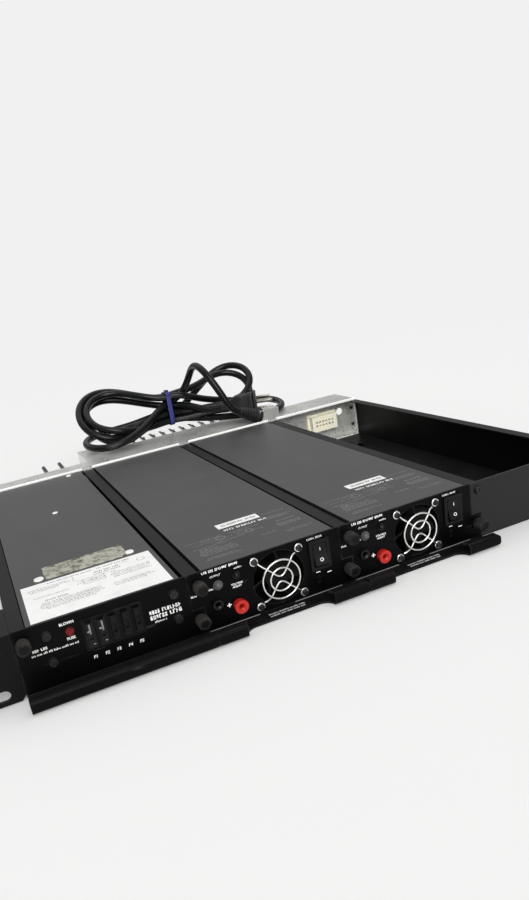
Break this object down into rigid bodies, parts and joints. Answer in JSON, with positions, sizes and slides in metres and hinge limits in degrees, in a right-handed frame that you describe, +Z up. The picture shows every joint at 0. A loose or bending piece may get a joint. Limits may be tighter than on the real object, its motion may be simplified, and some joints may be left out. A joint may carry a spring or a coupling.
{
  "type": "rack power shelf",
  "caption": "One-unit rack shelf with a pull-out fuse module, two fan-cooled rectifier modules, a blanked bay and a galvanised connector channel with a tied power cord.",
  "frame": {"origin": "middle of the shelf's footprint, on the underside of its tray", "axes": "+X to the right as seen from the front, +Y to the back, +Z up"},
  "size_m": [0.4826, 0.466, 0.121],
  "materials": {
    "black_paint": "semi-gloss black paint on steel sheet",
    "black_screws": "black oxide screws",
    "galvanised": "bright galvanised sheet, faint spangle",
    "cream_plastic": "satin cream nylon",
    "terminal_black": "moulded black plastic",
    "blank_paint": "matt black paint",
    "relief_rubber": "black moulded rubber",
    "cord_rubber": "satin black cord jacket",
    "blue_tie": "blue nylon tie",
    "panel_black": "black paint with white legends",
    "case_black": "textured charcoal black paint",
    "fuse_block_black": "moulded black plastic",
    "clear_fuse": "pale clear plastic",
    "dark_fuse": "dark smoked plastic",
    "red_lens": "red lens",
    "thumb_black": "black oxide, knurled",
    "copper": "bare copper bar",
    "plug_black": "moulded black plastic",
    "fan_black": "moulded black plastic",
    "guard_wire": "bright plated wire",
    "switch_black": "black plastic with white I and O",
    "lamp_grey": "unlit diffused lamps",
    "jack_red": "red and black plastic collars",
    "board_green": "green board with parts"
  },
  "bodies": {
    "shelf": {"shelf_tray": "black_paint", "bay_dividers": "black_paint", "left_ear": "black_paint", "right_ear": "black_paint", "shelf_screws": "black_screws", "rear_channel": "galvanised", "rear_box": "galvanised", "bay_connectors": "cream_plastic", "output_terminals": "terminal_black", "blank_panel": "blank_paint", "strain_relief": "relief_rubber", "power_cord": "cord_rubber", "cord_hank": "cord_rubber", "cord_tie": "blue_tie", "cord_plug": "cord_rubber"},
    "fuse_module": {"fuse_front": "panel_black", "fuse_chassis": "case_black", "fuse_cover": "case_black", "fuse_block": "fuse_block_black", "fuse_lamp": "red_lens", "fuse_screws": "black_screws", "fuse_bus_bar": "copper", "fuse_plug": "plug_black"},
    "fuse_1": {"fuse_1": "clear_fuse"},
    "fuse_2": {"fuse_2": "clear_fuse"},
    "fuse_3": {"fuse_3": "dark_fuse"},
    "fuse_4": {"fuse_4": "dark_fuse"},
    "fuse_5": {"fuse_5": "dark_fuse"},
    "fuse_thumb_left": {"fuse_thumb_left": "thumb_black"},
    "fuse_thumb_right": {"fuse_thumb_right": "thumb_black"},
    "rectifier_1": {"rect1_front": "panel_black", "rect1_chassis": "case_black", "rect1_cover": "case_black", "rect1_fan_frame": "fan_black", "rect1_fan_guard": "guard_wire", "rect1_guard_screws": "black_screws", "rect1_switch_body": "switch_black", "rect1_lamps": "lamp_grey", "rect1_test_jacks": "jack_red", "rect1_board": "board_green", "rect1_plug": "plug_black"},
    "fan_1": {"rect1_fan_rotor": "fan_black"},
    "rocker_1": {"rect1_rocker": "switch_black"},
    "rect1_thumb_left": {"rect1_thumb_left": "thumb_black"},
    "rect1_thumb_right": {"rect1_thumb_right": "thumb_black"},
    "rectifier_2": {"rect2_front": "panel_black", "rect2_chassis": "case_black", "rect2_cover": "case_black", "rect2_fan_frame": "fan_black", "rect2_fan_guard": "guard_wire", "rect2_guard_screws": "black_screws", "rect2_switch_body": "switch_black", "rect2_lamps": "lamp_grey", "rect2_test_jacks": "jack_red", "rect2_board": "board_green", "rect2_plug": "plug_black"},
    "fan_2": {"rect2_fan_rotor": "fan_black"},
    "rocker_2": {"rect2_rocker": "switch_black"},
    "rect2_thumb_left": {"rect2_thumb_left": "thumb_black"},
    "rect2_thumb_right": {"rect2_thumb_right": "thumb_black"}
  },
  "joints": [
    {"name": "fuse_module_slide", "type": "slide", "parent": "shelf", "child": "fuse_module", "axis": [0, -1, 0], "range_m": [0, 0.33]},
    {"name": "rectifier_1_slide", "type": "slide", "parent": "shelf", "child": "rectifier_1", "axis": [0, -1, 0], "range_m": [0, 0.33]},
    {"name": "rectifier_2_slide", "type": "slide", "parent": "shelf", "child": "rectifier_2", "axis": [0, -1, 0], "range_m": [0, 0.33]},
    {"name": "fuse_1_pull", "type": "slide", "parent": "fuse_module", "child": "fuse_1", "axis": [0, -1, 0], "range_m": [0, 0.03]},
    {"name": "fuse_2_pull", "type": "slide", "parent": "fuse_module", "child": "fuse_2", "axis": [0, -1, 0], "range_m": [0, 0.03]},
    {"name": "fuse_3_pull", "type": "slide", "parent": "fuse_module", "child": "fuse_3", "axis": [0, -1, 0], "range_m": [0, 0.03]},
    {"name": "fuse_4_pull", "type": "slide", "parent": "fuse_module", "child": "fuse_4", "axis": [0, -1, 0], "range_m": [0, 0.03]},
    {"name": "fuse_5_pull", "type": "slide", "parent": "fuse_module", "child": "fuse_5", "axis": [0, -1, 0], "range_m": [0, 0.03]},
    {"name": "fuse_thumb_left_turn", "type": "hinge", "parent": "fuse_module", "child": "fuse_thumb_left", "pos_m": [-0.2135, -0.2, 0.035], "axis": [0, 1, 0], "continuous": true},
    {"name": "fuse_thumb_right_turn", "type": "hinge", "parent": "fuse_module", "child": "fuse_thumb_right", "pos_m": [-0.10795, -0.2, 0.0128], "axis": [0, 1, 0], "continuous": true},
    {"name": "rect1_thumb_left_turn", "type": "hinge", "parent": "rectifier_1", "child": "rect1_thumb_left", "pos_m": [-0.10555, -0.2, 0.035], "axis": [0, 1, 0], "continuous": true},
    {"name": "rect1_thumb_right_turn", "type": "hinge", "parent": "rectifier_1", "child": "rect1_thumb_right", "pos_m": [0, -0.2, 0.0128], "axis": [0, 1, 0], "continuous": true},
    {"name": "fan_1_spin", "type": "hinge", "parent": "rectifier_1", "child": "fan_1", "pos_m": [-0.05095, -0.2, 0.0227], "axis": [0, 1, 0], "continuous": true},
    {"name": "rocker_1_tilt", "type": "hinge", "parent": "rectifier_1", "child": "rocker_1", "pos_m": [-0.02025, -0.197, 0.0292], "axis": [1, 0, 0], "range_deg": [0, 18]},
    {"name": "rect2_thumb_left_turn", "type": "hinge", "parent": "rectifier_2", "child": "rect2_thumb_left", "pos_m": [0.0024, -0.2, 0.035], "axis": [0, 1, 0], "continuous": true},
    {"name": "rect2_thumb_right_turn", "type": "hinge", "parent": "rectifier_2", "child": "rect2_thumb_right", "pos_m": [0.10795, -0.2, 0.0128], "axis": [0, 1, 0], "continuous": true},
    {"name": "fan_2_spin", "type": "hinge", "parent": "rectifier_2", "child": "fan_2", "pos_m": [0.057, -0.2, 0.0227], "axis": [0, 1, 0], "continuous": true},
    {"name": "rocker_2_tilt", "type": "hinge", "parent": "rectifier_2", "child": "rocker_2", "pos_m": [0.0877, -0.197, 0.0292], "axis": [1, 0, 0], "range_deg": [0, 18]}
  ]
}
